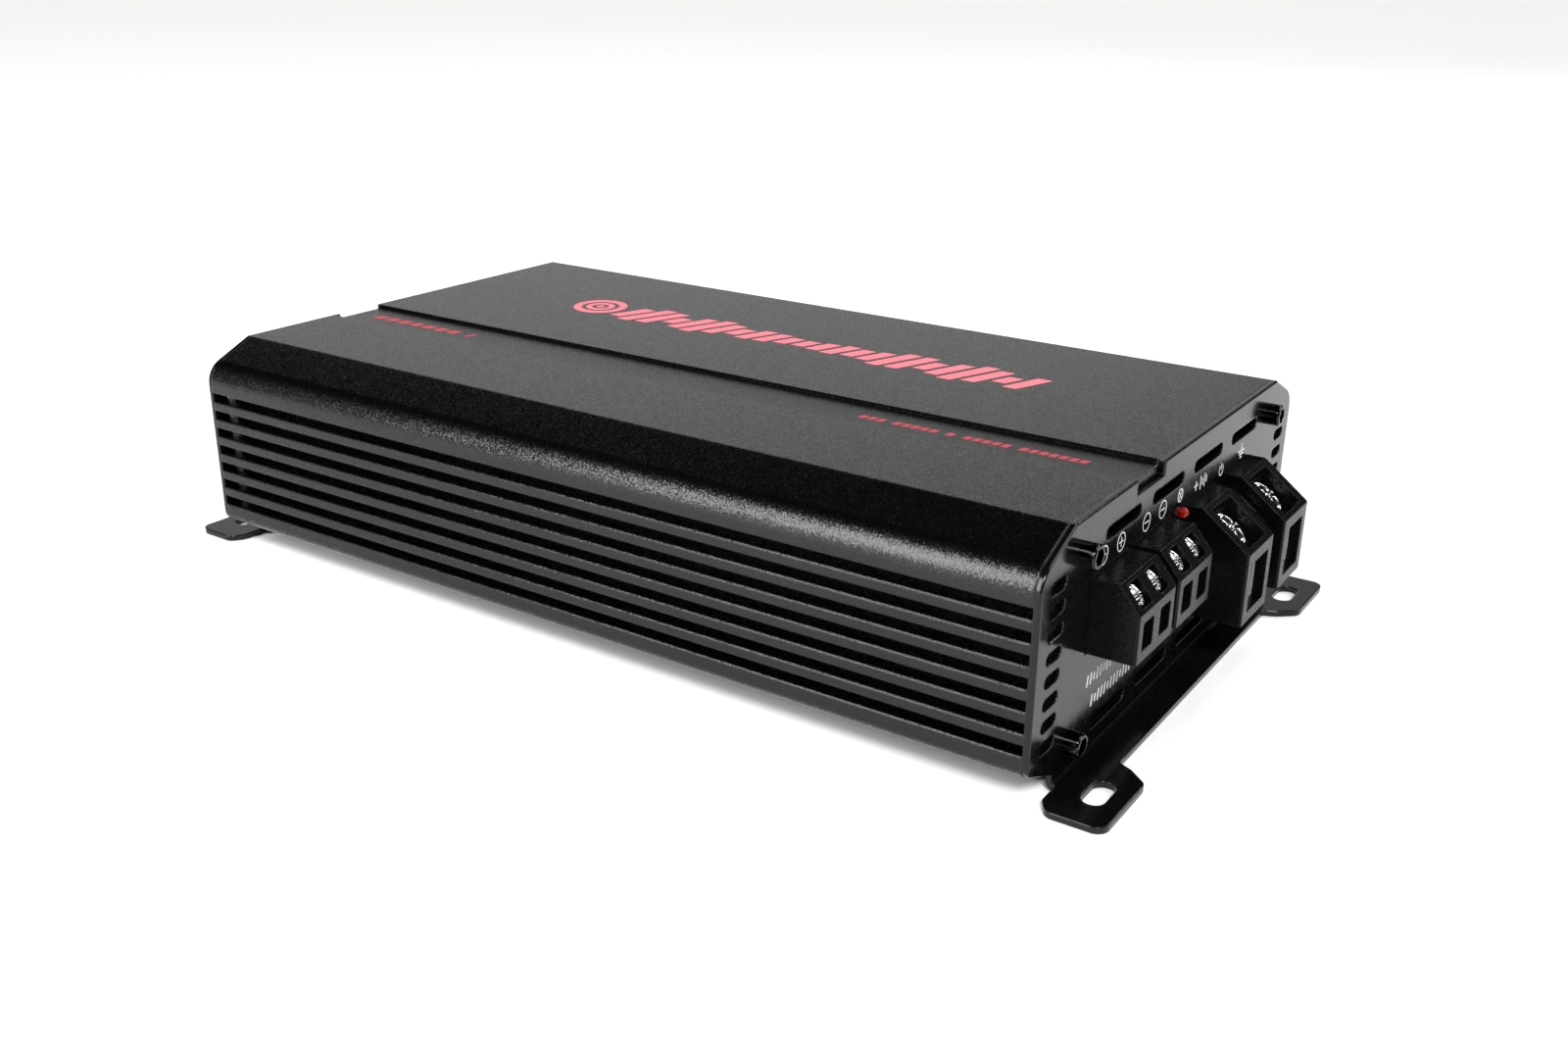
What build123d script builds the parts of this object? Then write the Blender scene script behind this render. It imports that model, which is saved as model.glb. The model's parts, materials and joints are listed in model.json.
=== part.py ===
from build123d import *
import math
import os

# Car amplifier. +X points out of the terminal end, +Z up, front fins at -Y.
# The origin is the middle of the footprint at the level of the surface it is screwed to.
# All sizes are in millimetres.

# Driving dimensions of the case.
body_length = 248.0
body_width = 155.0
body_top = 59.0
plate_thick = 1.5
sheet_thick = 1.5
end_x = body_length / 2
plate_face = end_x + plate_thick
half_width = body_width / 2

# Extruded profile, in Y and Z.
flat_edge = 63.0
shoulder_z = 52.5
shoulder_radius = 7.0
fin_count = 7
fin_pitch = 5.0
groove_height = 2.3
groove_depth = 7.0
first_groove_floor = 43.5
lip_z = 9.0
foot_y = 66.0
foot_z = sheet_thick + 1.5
foot_inner_y = 54.0
foot_thick = 3.0
wall_inner_y = 67.0
roof_under = 55.0
rail_y = 63.5
rail_low = 20.0
rail_high = 42.0
channel_front = -31.0
channel_back = -15.5
channel_depth = 1.0
tip_round = 0.35
root_round = 0.6
lip_radius = 3.0

# End plates: vents, feet and screws.
plate_screw_y = 58.3
plate_screw_low = 8.6
plate_screw_high = 51.3
boss_radius = 3.5
boss_bore = 1.3
vent_y = 69.3
vent_top = 48.2
vent_pitch = 5.05
vent_count = 8
vent_length = 7.2
vent_height = 2.8
slot_y = (-37.4, -11.8, 13.8, 39.4)
slot_length = 19.0
slot_height = 3.0
slot_rows = (7.5, 51.6)
notch_depth = 3.3
flange_x = 133.5
ear_x = 141.5
ear_outer_y = 75.0
ear_inner_y = 48.0
relief_y = 65.0
relief_x = 126.3
ear_slot_x = 134.9
ear_slot_y = 62.3
ear_slot_length = 10.5
ear_slot_width = 5.2
edge_round = 0.5

# Circuit board.
board_top = 15.5
board_thick = 1.6
board_half_length = 118.0
board_half_width = 62.5
standoff_points = [(x, y) for x in (-104.0, 0.0, 104.0) for y in (-46.0, 46.0)]
cover_screw_points = [(x, y) for x in (-105.0, 0.0, 105.0) for y in (-62.5, 62.5)]
cover_half_width = 64.8

# Terminal blocks: X of front and top edges, Z of top, chin and bottom.
small_block = dict(front=136.5, top_x=131.5, top=44.0, chin=38.0, bottom=27.0, rear=112.0,
                   wire_low=29.3, wire_high=35.8, wire_wide=5.8, window=5.7, cage_wide=7.4,
                   cage_back=118.5, head_r=2.65, head_h=2.2, head_sink=0.2, shank_r=1.9,
                   cage_sink=5.0, foot_r=2.2, foot_h=0.8, tip_sink=12.7)
remote_block = dict(small_block, top_x=127.7, top=40.5, chin=33.7, bottom=23.4,
                    wire_low=25.0, wire_high=31.4, tip_sink=10.6)
large_block = dict(front=141.1, top_x=129.2, top=43.0, chin=33.8, bottom=16.0, rear=108.0,
                   wire_low=18.6, wire_high=31.0, wire_wide=11.6, window=12.0, cage_wide=13.6,
                   cage_back=114.0, head_r=5.0, head_h=3.5, head_sink=1.6, shank_r=2.9,
                   cage_sink=6.8, foot_r=4.5, foot_h=1.5, tip_sink=16.7)
speaker_centres = (-42.7, -20.2)
speaker_width = 20.2
pole_offset = 4.7
power_y = 11.5
ground_y = 38.5
large_width = 18.0
remote_y = 25.0
remote_width = 8.2
block_gap = 0.3
thread_gap = 0.06
cage_gap = 0.1
cage_front_inset = 2.7
cage_floor = 1.0

# Power transistors along the two rails.
pad_thick = 0.4
case_thick = 4.5
bar_thick = 3.0
clamp_z = 31.0
clamp_depth = 5.5
clamp_pitch = 24.0
clamp_x = [-72.0 + clamp_pitch * k for k in range(7)]
transistor_x = [-60.0 + clamp_pitch * k for k in range(6)]
transistor_low = 21.5

# Lamp.
lamp_y = -1.3
lamp_z = 42.5
lamp_r = 1.25
lamp_out = 0.4

# Control end.
jack_points = [(y, z) for y in (-48.0, -33.0) for z in (23.0, 40.0)]
knob_names = ("level", "low_pass", "subsonic", "bass_boost")
knob_y = (-10.0, 8.0, 26.0, 44.0)
knob_z = 37.0
knob_r = 3.0
spindle_r = 1.5
switch_y = 2.0
switch_z = 21.0
port_y = 34.0
port_z = 21.4
control_board_x = 109.0

os.makedirs("parts", exist_ok=True)


def write(builder, name):
    builder.part.label = name
    export_step(builder.part, f"parts/{name}.step")


def outward(side, x, y=0.0, z=0.0):
    """Plane facing out of an end of the case, with local x towards side * Y and local y up."""
    return Plane(origin=(side * x, y, z), x_dir=(0, side, 0), z_dir=(side, 0, 0))


def side_profile():
    """Outer edge of one side, from the top flat down to the foot, as (y, z)."""
    points = [(flat_edge, body_top), (half_width, shoulder_z)]
    for k in range(fin_count):
        floor = first_groove_floor - k * fin_pitch
        ceiling = floor + groove_height
        points += [(half_width, ceiling), (half_width - groove_depth, ceiling)]
        points += [(half_width - groove_depth, floor), (half_width, floor)]
    return points + [(half_width, lip_z), (foot_y, foot_z)]


def near(value, target):
    return abs(value - target) < 0.01


# Heatsink: one aluminium extrusion that makes the roof and both finned sides.
right_side = side_profile()
left_side = [(-y, z) for y, z in reversed(right_side)]
channel = [(channel_front - 1.5, body_top), (channel_front + 1.0, body_top - channel_depth),
           (channel_back - 1.0, body_top - channel_depth), (channel_back, body_top)]
outline = left_side + channel + right_side
inside = [(-foot_inner_y, foot_z - 5), (-foot_inner_y, foot_z + foot_thick),
          (-wall_inner_y, foot_z + foot_thick), (-wall_inner_y, rail_low), (-rail_y, rail_low + 2),
          (-rail_y, rail_high - 2), (-wall_inner_y, rail_high), (-wall_inner_y, 50), (-62, roof_under)]
with BuildPart() as heatsink:
    with BuildSketch(Plane.YZ) as profile:
        with BuildLine():
            Polyline(*outline, close=True)
        make_face()
        fillet([v for v in profile.vertices() if near(v.Y, shoulder_z)], shoulder_radius)
        fillet([v for v in profile.vertices() if near(v.Y, lip_z)], lip_radius)
        tips = [v for v in profile.vertices() if near(abs(v.X), half_width) and lip_z + 4 < v.Y < 46.0]
        fillet(tips, tip_round)
        roots = [v for v in profile.vertices() if near(abs(v.X), half_width - groove_depth) and v.Y < 46.0]
        fillet(roots, root_round)
        with BuildLine():
            Polyline(*inside, *[(-y, z) for y, z in reversed(inside)], close=True)
        make_face(mode=Mode.SUBTRACT)
        for y in (-plate_screw_y, plate_screw_y):
            with Locations((y, plate_screw_low), (y, plate_screw_high)):
                Circle(boss_radius)
        for y in (-plate_screw_y, plate_screw_y):
            with Locations((y, roof_under - 1)):
                Rectangle(2 * boss_radius, 3)
            with Locations((y, plate_screw_low), (y, plate_screw_high)):
                Circle(boss_bore, mode=Mode.SUBTRACT)
    extrude(amount=end_x, both=True)
    with Locations(*[(x, y, foot_z + foot_thick / 2) for x, y in cover_screw_points]):
        Cylinder(1.25, foot_thick + 2, mode=Mode.SUBTRACT)
    for side in (-1, 1):
        with BuildSketch(Plane.XZ.offset(-side * rail_y)):
            with Locations(*[(x, clamp_z) for x in clamp_x]):
                Circle(1.45)
        extrude(amount=-side * clamp_depth, mode=Mode.SUBTRACT)
write(heatsink, "heatsink")

# Bottom cover: a flat steel sheet under the two feet of the extrusion.
with BuildPart() as cover:
    with BuildSketch(Plane.XY.offset(foot_z - sheet_thick)):
        RectangleRounded(body_length, 2 * cover_half_width, 3)
    extrude(amount=sheet_thick)
    for x, y in cover_screw_points:
        with BuildSketch(Plane.XY.offset(foot_z - sheet_thick)):
            with Locations((x, y)):
                Circle(2.9)
        extrude(amount=sheet_thick, taper=40, mode=Mode.SUBTRACT)
        with Locations((x, y, foot_z)):
            Cylinder(1.7, 2 * sheet_thick, mode=Mode.SUBTRACT)
    with Locations(*[(x, y, foot_z) for x, y in standoff_points]):
        Cylinder(1.7, 3 * sheet_thick, mode=Mode.SUBTRACT)
write(cover, "bottom_cover")

with BuildPart() as cover_screws:
    for x, y in cover_screw_points:
        with BuildSketch(Plane.XY.offset(foot_z - sheet_thick + 0.05)):
            with Locations((x, y)):
                Circle(2.8)
        extrude(amount=sheet_thick - 0.05, taper=40)
        with Locations((x, y, foot_z - sheet_thick + 0.05)):
            Cylinder(1.2, 5.0, align=(Align.CENTER, Align.CENTER, Align.MIN))
        with BuildSketch(Plane.XY.offset(foot_z - sheet_thick + 0.05)):
            with Locations((x, y)):
                Rectangle(2.8, 0.6)
                Rectangle(0.6, 2.8)
        extrude(amount=0.8, mode=Mode.SUBTRACT)
write(cover_screws, "bottom_cover_screws")


def end_plate(side, cutouts):
    """Bent steel end plate: upright sheet, out-turned flange and two slotted ears."""
    upright = [(-relief_y, 0), (-relief_y, 3.6), (-half_width, lip_z), (-half_width, shoulder_z),
               (-flat_edge, body_top)]
    ear = [(end_x, relief_y), (relief_x, relief_y), (relief_x, 71.5), (128.6, ear_outer_y),
           (ear_x, ear_outer_y), (ear_x, 53.5), (136.8, ear_inner_y + 1.5), (flange_x, ear_inner_y)]
    flange = [(side * x, y) for x, y in ear] + [(side * x, -y) for x, y in reversed(ear)]
    with BuildPart() as plate:
        with BuildSketch(outward(side, end_x)) as sheet:
            with BuildLine():
                Polyline(*upright, *[(-y, z) for y, z in reversed(upright)], close=True)
            make_face()
            fillet([v for v in sheet.vertices() if near(v.Y, shoulder_z)], shoulder_radius)
            fillet([v for v in sheet.vertices() if near(v.Y, lip_z)], lip_radius)
            with Locations((side * (channel_front + channel_back) / 2, body_top - notch_depth / 2)):
                Rectangle(channel_back - channel_front, notch_depth, mode=Mode.SUBTRACT)
            for y in slot_y:
                for z in slot_rows:
                    with Locations((side * y, z)):
                        SlotOverall(slot_length, slot_height, mode=Mode.SUBTRACT)
            for k in range(vent_count):
                with Locations((-vent_y, vent_top - k * vent_pitch), (vent_y, vent_top - k * vent_pitch)):
                    SlotOverall(vent_length, vent_height, mode=Mode.SUBTRACT)
            for y in (-plate_screw_y, plate_screw_y):
                with Locations((y, plate_screw_low), (y, plate_screw_high)):
                    Circle(1.7, mode=Mode.SUBTRACT)
            for shape, y, z, wide, high in cutouts:
                with Locations((side * y, z)):
                    if shape == "round":
                        Circle(wide / 2, mode=Mode.SUBTRACT)
                    else:
                        Rectangle(wide, high, mode=Mode.SUBTRACT)
        extrude(amount=plate_thick)
        outer_face = plate.faces().sort_by(Axis.X)[0 if side < 0 else -1]
        fillet(outer_face.outer_wire().edges().filter_by(lambda e: e.center().Z > 5), edge_round)
        with BuildSketch(Plane.XY) as foot:
            with BuildLine():
                Polyline(*flange, close=True)
            make_face()
            rounded = [v for v in foot.vertices() if abs(v.X) > relief_x - 0.1 and abs(v.Y) > relief_y + 1]
            fillet(rounded, 3.0)
            fillet([v for v in foot.vertices() if near(abs(v.Y), 53.5)], 3.0)
            fillet([v for v in foot.vertices() if near(abs(v.Y), ear_inner_y)], 1.5)
            with Locations((side * ear_slot_x, ear_slot_y), (side * ear_slot_x, -ear_slot_y)):
                SlotOverall(ear_slot_length, ear_slot_width, rotation=90, mode=Mode.SUBTRACT)
        extrude(amount=sheet_thick)
        along = plate.edges().filter_by(Axis.Y)
        fillet(along.filter_by(lambda e: near(abs(e.center().X), end_x) and near(e.center().Z, 0)), 2.2)
        fillet(along.filter_by(lambda e: near(abs(e.center().X), plate_face)
                               and near(e.center().Z, sheet_thick)), 0.8)
    return plate


def block_cutout(centre, width, block):
    middle = (block["top"] + block["bottom"]) / 2
    height = block["top"] - block["bottom"]
    return ("square", centre, middle, width + 2 * block_gap, height + 2 * block_gap)


terminal_cutouts = [block_cutout(y, speaker_width, small_block) for y in speaker_centres]
terminal_cutouts += [block_cutout(y, large_width, large_block) for y in (power_y, ground_y)]
terminal_cutouts += [block_cutout(remote_y, remote_width, remote_block)]
terminal_cutouts += [("round", lamp_y, lamp_z, 2 * lamp_r + 0.2, 0)]
write(end_plate(1, terminal_cutouts), "terminal_end_plate")

control_cutouts = [("round", y, z, 10.4, 0) for y, z in jack_points]
control_cutouts += [("round", y, knob_z, 2 * knob_r + 1.2, 0) for y in knob_y]
control_cutouts += [("square", switch_y, switch_z, 9.6, 4.2), ("square", port_y, port_z, 12.6, 11.6)]
write(end_plate(-1, control_cutouts), "control_end_plate")


def end_screws(side):
    """Four socket head cap screws that hold an end plate to the bosses of the extrusion."""
    head_h = 3.5
    with BuildPart() as screws:
        for y in (-plate_screw_y, plate_screw_y):
            for z in (plate_screw_low, plate_screw_high):
                seat = outward(side, plate_face, y, z)
                with BuildSketch(seat):
                    Circle(2.75)
                extrude(amount=head_h - 0.4)
                with BuildSketch(seat.offset(head_h - 0.4)):
                    Circle(2.75)
                extrude(amount=0.4, taper=40)
                with BuildSketch(seat):
                    Circle(1.25)
                extrude(amount=-12.0)
                with BuildSketch(seat.offset(head_h)):
                    RegularPolygon(2.1, 6)
                extrude(amount=-2.0, mode=Mode.SUBTRACT)
    return screws


write(end_screws(1), "terminal_end_screws")
write(end_screws(-1), "control_end_screws")


def face_frame(block):
    """Middle of the slanted face and its two directions in the XZ plane: down the slope and out."""
    run = block["front"] - block["top_x"]
    drop = block["top"] - block["chin"]
    length = math.hypot(run, drop)
    middle = ((block["front"] + block["top_x"]) / 2, (block["top"] + block["chin"]) / 2)
    return middle, (run / length, -drop / length), (drop / length, run / length)


def screw_plane(block, y, depth):
    """Plane square to the screw's axis, at a depth below the slanted face."""
    middle, _, normal = face_frame(block)
    origin = (middle[0] - depth * normal[0], y, middle[1] - depth * normal[1])
    return Plane(origin=origin, x_dir=(0, 1, 0), z_dir=(normal[0], 0, normal[1]))


def cage_outline(block, grow):
    """Side view of the metal cage: upright back, floor, front edge and slanted top."""
    middle, slope, normal = face_frame(block)
    depth = block["cage_sink"] - grow
    px = middle[0] - depth * normal[0]
    pz = middle[1] - depth * normal[1]
    steep = slope[1] / slope[0]
    front = block["front"] - cage_front_inset + grow
    back = block["cage_back"] - grow
    low = block["wire_low"] - cage_floor - grow
    high = block["top"] - 2.0 + grow
    return [(back, low), (front, low), (front, pz + steep * (front - px)),
            (px + (high - pz) / steep, high), (back, high)]


def terminal_housing(centre, width, block, poles):
    """Moulded housing: slanted screw face, wire entries and one metal cage pocket per pole."""
    middle_plane = Plane.XZ.offset(-centre)
    with BuildPart() as housing:
        with BuildSketch(middle_plane):
            with BuildLine():
                Polyline((block["rear"], block["bottom"]), (block["front"], block["bottom"]),
                         (block["front"], block["chin"]), (block["top_x"], block["top"]),
                         (block["rear"], block["top"]), close=True)
            make_face()
        extrude(amount=width / 2, both=True)
        with BuildSketch(Plane.XY.offset(board_top)):
            with Locations(((block["rear"] + end_x - 2) / 2, centre)):
                Rectangle(end_x - 2 - block["rear"], width)
        extrude(amount=block["bottom"] - board_top)
        upright = housing.edges().filter_by(Axis.Z).group_by(Axis.X)[-1]
        chamfer(upright, 0.4)
        for y in poles:
            with BuildSketch(Plane.XZ.offset(-y)):
                with BuildLine():
                    Polyline(*cage_outline(block, cage_gap), close=True)
                make_face()
            extrude(amount=block["cage_wide"] / 2 + cage_gap, both=True, mode=Mode.SUBTRACT)
            wire_high = block["wire_high"] - block["wire_low"]
            with BuildSketch(outward(1, block["front"], y, block["wire_low"] + wire_high / 2)):
                RectangleRounded(block["wire_wide"], wire_high, 0.6)
            extrude(amount=-(block["front"] - block["cage_back"]), mode=Mode.SUBTRACT)
            with BuildSketch(screw_plane(block, y, 0.0)):
                RectangleRounded(block["window"], block["window"] + 0.2, 0.5)
            extrude(amount=-block["cage_sink"], mode=Mode.SUBTRACT)
    return housing


def cages(block, poles):
    """Plated metal cages, open towards the wire, each with a bore for its clamp screw."""
    with BuildPart() as metal:
        for y in poles:
            with BuildSketch(Plane.XZ.offset(-y)):
                with BuildLine():
                    Polyline(*cage_outline(block, 0.0), close=True)
                make_face()
            extrude(amount=block["cage_wide"] / 2, both=True)
            wire_high = block["wire_high"] - block["wire_low"]
            with BuildSketch(outward(1, block["front"], y, block["wire_low"] + wire_high / 2)):
                Rectangle(block["wire_wide"] - 0.2, wire_high)
            inner_back = block["cage_back"] + 1.0
            extrude(amount=-(block["front"] - inner_back), mode=Mode.SUBTRACT)
            with BuildSketch(screw_plane(block, y, 0.0)):
                Circle(block["shank_r"] + thread_gap)
            extrude(amount=-block["tip_sink"], mode=Mode.SUBTRACT)
    return metal


def clamp_screw(block, y):
    """Domed clamp screw with a cross recess and a spigot that turns in its pressure foot."""
    with BuildPart() as screw:
        with BuildSketch(screw_plane(block, y, block["head_sink"] + block["head_h"])):
            Circle(block["head_r"])
        extrude(amount=block["head_h"])
        rim = screw.edges().filter_by(GeomType.CIRCLE)
        out = screw_plane(block, y, 0.0).z_dir
        rim = rim.sort_by(lambda e: e.arc_center.X * out.X + e.arc_center.Z * out.Z)
        fillet(rim[-1], 0.85 * block["head_h"])
        with BuildSketch(screw_plane(block, y, block["head_sink"])):
            Rectangle(1.5 * block["head_r"], 0.28 * block["head_r"])
            Rectangle(0.28 * block["head_r"], 1.5 * block["head_r"])
        extrude(amount=-0.55 * block["head_h"], mode=Mode.SUBTRACT)
        with BuildSketch(screw_plane(block, y, block["tip_sink"])):
            Circle(block["shank_r"])
        extrude(amount=block["tip_sink"] - block["head_sink"] - block["head_h"])
        with BuildSketch(screw_plane(block, y, block["tip_sink"])):
            Circle(0.5 * block["shank_r"])
        extrude(amount=-0.6 * block["foot_h"])
    return screw


def pressure_foot(block, y):
    """Round foot that the screw pushes onto the wire without turning it."""
    with BuildPart() as foot:
        with BuildSketch(screw_plane(block, y, block["tip_sink"] + 0.05)):
            Circle(block["foot_r"])
        extrude(amount=-block["foot_h"])
        with BuildSketch(screw_plane(block, y, block["tip_sink"] + 0.05)):
            Circle(0.5 * block["shank_r"] + thread_gap)
        extrude(amount=-0.7 * block["foot_h"], mode=Mode.SUBTRACT)
    return foot


speaker_poles = []
for name, centre in zip(("positive", "negative"), speaker_centres):
    poles = (centre - pole_offset, centre + pole_offset)
    speaker_poles += poles
    housing = terminal_housing(centre, speaker_width, small_block, poles)
    write(housing, f"speaker_{name}_housing")
write(cages(small_block, speaker_poles), "speaker_cages")
for number, y in enumerate(speaker_poles, start=1):
    write(clamp_screw(small_block, y), f"speaker_screw_{number}")
    write(pressure_foot(small_block, y), f"speaker_foot_{number}")

supply = (("power", power_y, large_width, large_block), ("ground", ground_y, large_width, large_block),
          ("remote", remote_y, remote_width, remote_block))
for name, y, width, block in supply:
    write(terminal_housing(y, width, block, (y,)), f"{name}_housing")
    write(clamp_screw(block, y), f"{name}_screw")
    write(pressure_foot(block, y), f"{name}_foot")
write(cages(large_block, (power_y, ground_y)), "supply_cages")
write(cages(remote_block, (remote_y,)), "remote_cage")

# Lamp: a small domed lens on two legs behind the plate.
with BuildPart() as lamp:
    with BuildSketch(outward(1, plate_face - 6.0, lamp_y, lamp_z)):
        Circle(lamp_r)
    extrude(amount=6.0 + lamp_out)
    with Locations((plate_face + lamp_out, lamp_y, lamp_z)):
        Sphere(lamp_r)
    with BuildSketch(outward(1, plate_face - 6.0, lamp_y, lamp_z)):
        Circle(lamp_r + 0.5)
    extrude(amount=1.0)
write(lamp, "status_lamp")

# Main circuit board on six standoffs.
with BuildPart() as board:
    with BuildSketch(Plane.XY.offset(board_top - board_thick)):
        Rectangle(2 * board_half_length, 2 * board_half_width)
        with Locations(*standoff_points):
            Circle(1.7, mode=Mode.SUBTRACT)
    extrude(amount=board_thick)
write(board, "circuit_board")

with BuildPart() as standoffs:
    with BuildSketch(Plane.XY.offset(foot_z)):
        with Locations(*standoff_points):
            RegularPolygon(3.2, 6)
            Circle(1.3, mode=Mode.SUBTRACT)
    extrude(amount=board_top - board_thick - foot_z)
    with BuildSketch(Plane.XY.offset(foot_z - sheet_thick)):
        with Locations(*standoff_points):
            Circle(1.65)
    extrude(amount=sheet_thick)
write(standoffs, "board_standoffs")

with BuildPart() as board_screws:
    with BuildSketch(Plane.XY.offset(board_top)):
        with Locations(*standoff_points):
            Circle(2.7)
    extrude(amount=1.8)
    with BuildSketch(Plane.XY.offset(board_top + 1.8)):
        with Locations(*standoff_points):
            Rectangle(3.2, 0.7)
            Rectangle(0.7, 3.2)
    extrude(amount=-1.0, mode=Mode.SUBTRACT)
    with BuildSketch(Plane.XY.offset(board_top)):
        with Locations(*standoff_points):
            Circle(1.2)
    extrude(amount=-6.0)
write(board_screws, "board_screws")


def ring_core(x, y, outer, inner, base, height):
    with BuildPart() as core:
        with BuildSketch(Plane.XY.offset(base)):
            with Locations((x, y)):
                Circle(outer)
                Circle(inner, mode=Mode.SUBTRACT)
        extrude(amount=height)
        fillet(core.edges().filter_by(GeomType.CIRCLE), 0.8)
    return core


def ring_winding(x, y, outer, inner, base, height, turns, wire):
    """Turns of flat wire round a ring core, each a closed rectangular loop."""
    middle = (outer + inner) / 2
    gap = 0.15
    wide = outer - inner + 2 * (gap + wire)
    high = height + 2 * (gap + wire)
    with BuildPart() as winding:
        for k in range(turns):
            angle = 2 * math.pi * (k + 0.5) / turns
            radial = (math.cos(angle), math.sin(angle), 0)
            origin = (x + middle * radial[0], y + middle * radial[1], base + height / 2)
            tangent = (-radial[1], radial[0], 0)
            with BuildSketch(Plane(origin=origin, x_dir=radial, z_dir=tangent)):
                Rectangle(wide, high)
                Rectangle(wide - 2 * wire, high - 2 * wire, mode=Mode.SUBTRACT)
            extrude(amount=0.7 * wire, both=True)
    return winding


coil_base = board_top + 2.2
write(ring_core(10.0, 0.0, 21.0, 11.0, coil_base, 22.0), "transformer_core")
write(ring_winding(10.0, 0.0, 21.0, 11.0, coil_base, 22.0, 18, 1.8), "transformer_winding")
write(ring_core(-45.0, 18.0, 15.0, 8.0, coil_base, 15.0), "output_choke_core")
write(ring_winding(-45.0, 18.0, 15.0, 8.0, coil_base, 15.0, 14, 1.6), "output_choke_winding")

# Supply capacitors, standing on the board between the transformer and the terminals.
with BuildPart() as capacitors:
    spots = [(x, y) for x in (52.0, 74.0) for y in (-32.0, -10.5, 11.0, 32.5)]
    with BuildSketch(Plane.XY.offset(board_top)):
        with Locations(*spots):
            Circle(9.0)
    extrude(amount=32.0)
    fillet(capacitors.edges().filter_by(GeomType.CIRCLE).group_by(Axis.Z)[-1], 1.0)
write(capacitors, "supply_capacitors")

with BuildPart() as films:
    with BuildSketch(Plane.XY.offset(board_top)):
        with Locations(*[(-78.0, y) for y in (-34.0, -14.0, 6.0, 26.0)]):
            RectangleRounded(9.0, 16.0, 0.8)
    extrude(amount=15.0)
write(films, "film_capacitors")

# Power transistors stand in two rows against the rails of the extrusion.
for row, side in (("front", -1), ("rear", 1)):
    with BuildPart() as pad:
        with BuildSketch(Plane.XZ.offset(-side * rail_y)):
            with Locations((0, clamp_z)):
                Rectangle(156.0, 18.0)
            with Locations(*[(x, clamp_z) for x in clamp_x]):
                Circle(1.8, mode=Mode.SUBTRACT)
        extrude(amount=side * pad_thick)
    write(pad, f"{row}_insulating_pad")
    case_y = rail_y - pad_thick
    with BuildPart() as row_parts:
        for x in transistor_x:
            with BuildSketch(Plane.XZ.offset(-side * case_y)):
                with Locations((x, transistor_low + 8.0)):
                    Rectangle(10.2, 16.0)
            extrude(amount=side * case_thick)
            for lead in (-2.54, 0.0, 2.54):
                with BuildSketch(Plane.XY.offset(board_top)):
                    with Locations((x + lead, side * (case_y - 3.0))):
                        Rectangle(0.8, 0.6)
                extrude(amount=transistor_low - board_top)
    write(row_parts, f"{row}_transistors")
    bar_y = case_y - case_thick
    with BuildPart() as bar:
        with BuildSketch(Plane.XZ.offset(-side * bar_y)):
            with Locations((0, clamp_z)):
                RectangleRounded(156.0, 9.0, 1.0)
            with Locations(*[(x, clamp_z) for x in clamp_x]):
                Circle(1.7, mode=Mode.SUBTRACT)
        extrude(amount=side * bar_thick)
    write(bar, f"{row}_clamp_bar")
    with BuildPart() as clamp_screws:
        seat_y = bar_y - bar_thick
        for x in clamp_x:
            with BuildSketch(Plane.XZ.offset(-side * seat_y)):
                with Locations((x, clamp_z)):
                    Circle(2.75)
            extrude(amount=side * 2.4)
            with BuildSketch(Plane.XZ.offset(-side * seat_y)):
                with Locations((x, clamp_z)):
                    Circle(1.4)
            extrude(amount=-side * (rail_y - seat_y + clamp_depth - 0.5))
    write(clamp_screws, f"{row}_clamp_screws")

# Control end: a small upright board carries the jacks, controls, switch and port.
with BuildPart() as control_board:
    with BuildSketch(outward(-1, control_board_x)):
        with Locations((0.0, 32.0)):
            Rectangle(110.0, 32.8)
    extrude(amount=-board_thick)
write(control_board, "control_board")

with BuildPart() as jack_housing:
    for z in (23.0, 40.0):
        with BuildSketch(outward(-1, control_board_x)):
            with Locations((40.5, z)):
                RectangleRounded(29.0, 14.6, 1.0)
        extrude(amount=end_x - control_board_x - 0.2)
    for y, z in jack_points:
        with BuildSketch(outward(-1, end_x - 0.2)):
            with Locations((-y, z)):
                Circle(5.0)
        extrude(amount=plate_thick + 1.2)
        with BuildSketch(outward(-1, control_board_x + 4.0)):
            with Locations((-y, z)):
                Circle(4.15 + 0.02)
        extrude(amount=20.0, mode=Mode.SUBTRACT)
write(jack_housing, "signal_jack_housing")

with BuildPart() as jack_shells:
    for y, z in jack_points:
        with BuildSketch(outward(-1, control_board_x + 4.0)):
            with Locations((-y, z)):
                Circle(4.15)
                Circle(3.5, mode=Mode.SUBTRACT)
        extrude(amount=plate_face + 9.0 - control_board_x - 4.0)
write(jack_shells, "signal_jack_shells")

for colour, y in (("red", -48.0), ("white", -33.0)):
    with BuildPart() as jack_centres:
        for z in (23.0, 40.0):
            with BuildSketch(outward(-1, control_board_x + 4.0)):
                with Locations((-y, z)):
                    Circle(3.4)
            extrude(amount=plate_face + 8.0 - control_board_x - 4.0)
            with BuildSketch(outward(-1, plate_face + 8.0)):
                with Locations((-y, z)):
                    Circle(1.65)
            extrude(amount=-14.0, mode=Mode.SUBTRACT)
    write(jack_centres, f"{colour}_jack_centres")

with BuildPart() as pots:
    for y in knob_y:
        with BuildSketch(outward(-1, control_board_x)):
            with Locations((-y, knob_z)):
                RectangleRounded(10.0, 11.0, 0.6)
        extrude(amount=6.5)
        with BuildSketch(outward(-1, control_board_x + 6.5)):
            with Locations((-y, knob_z)):
                Circle(spindle_r + thread_gap)
        extrude(amount=-5.5, mode=Mode.SUBTRACT)
write(pots, "control_pots")

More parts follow.
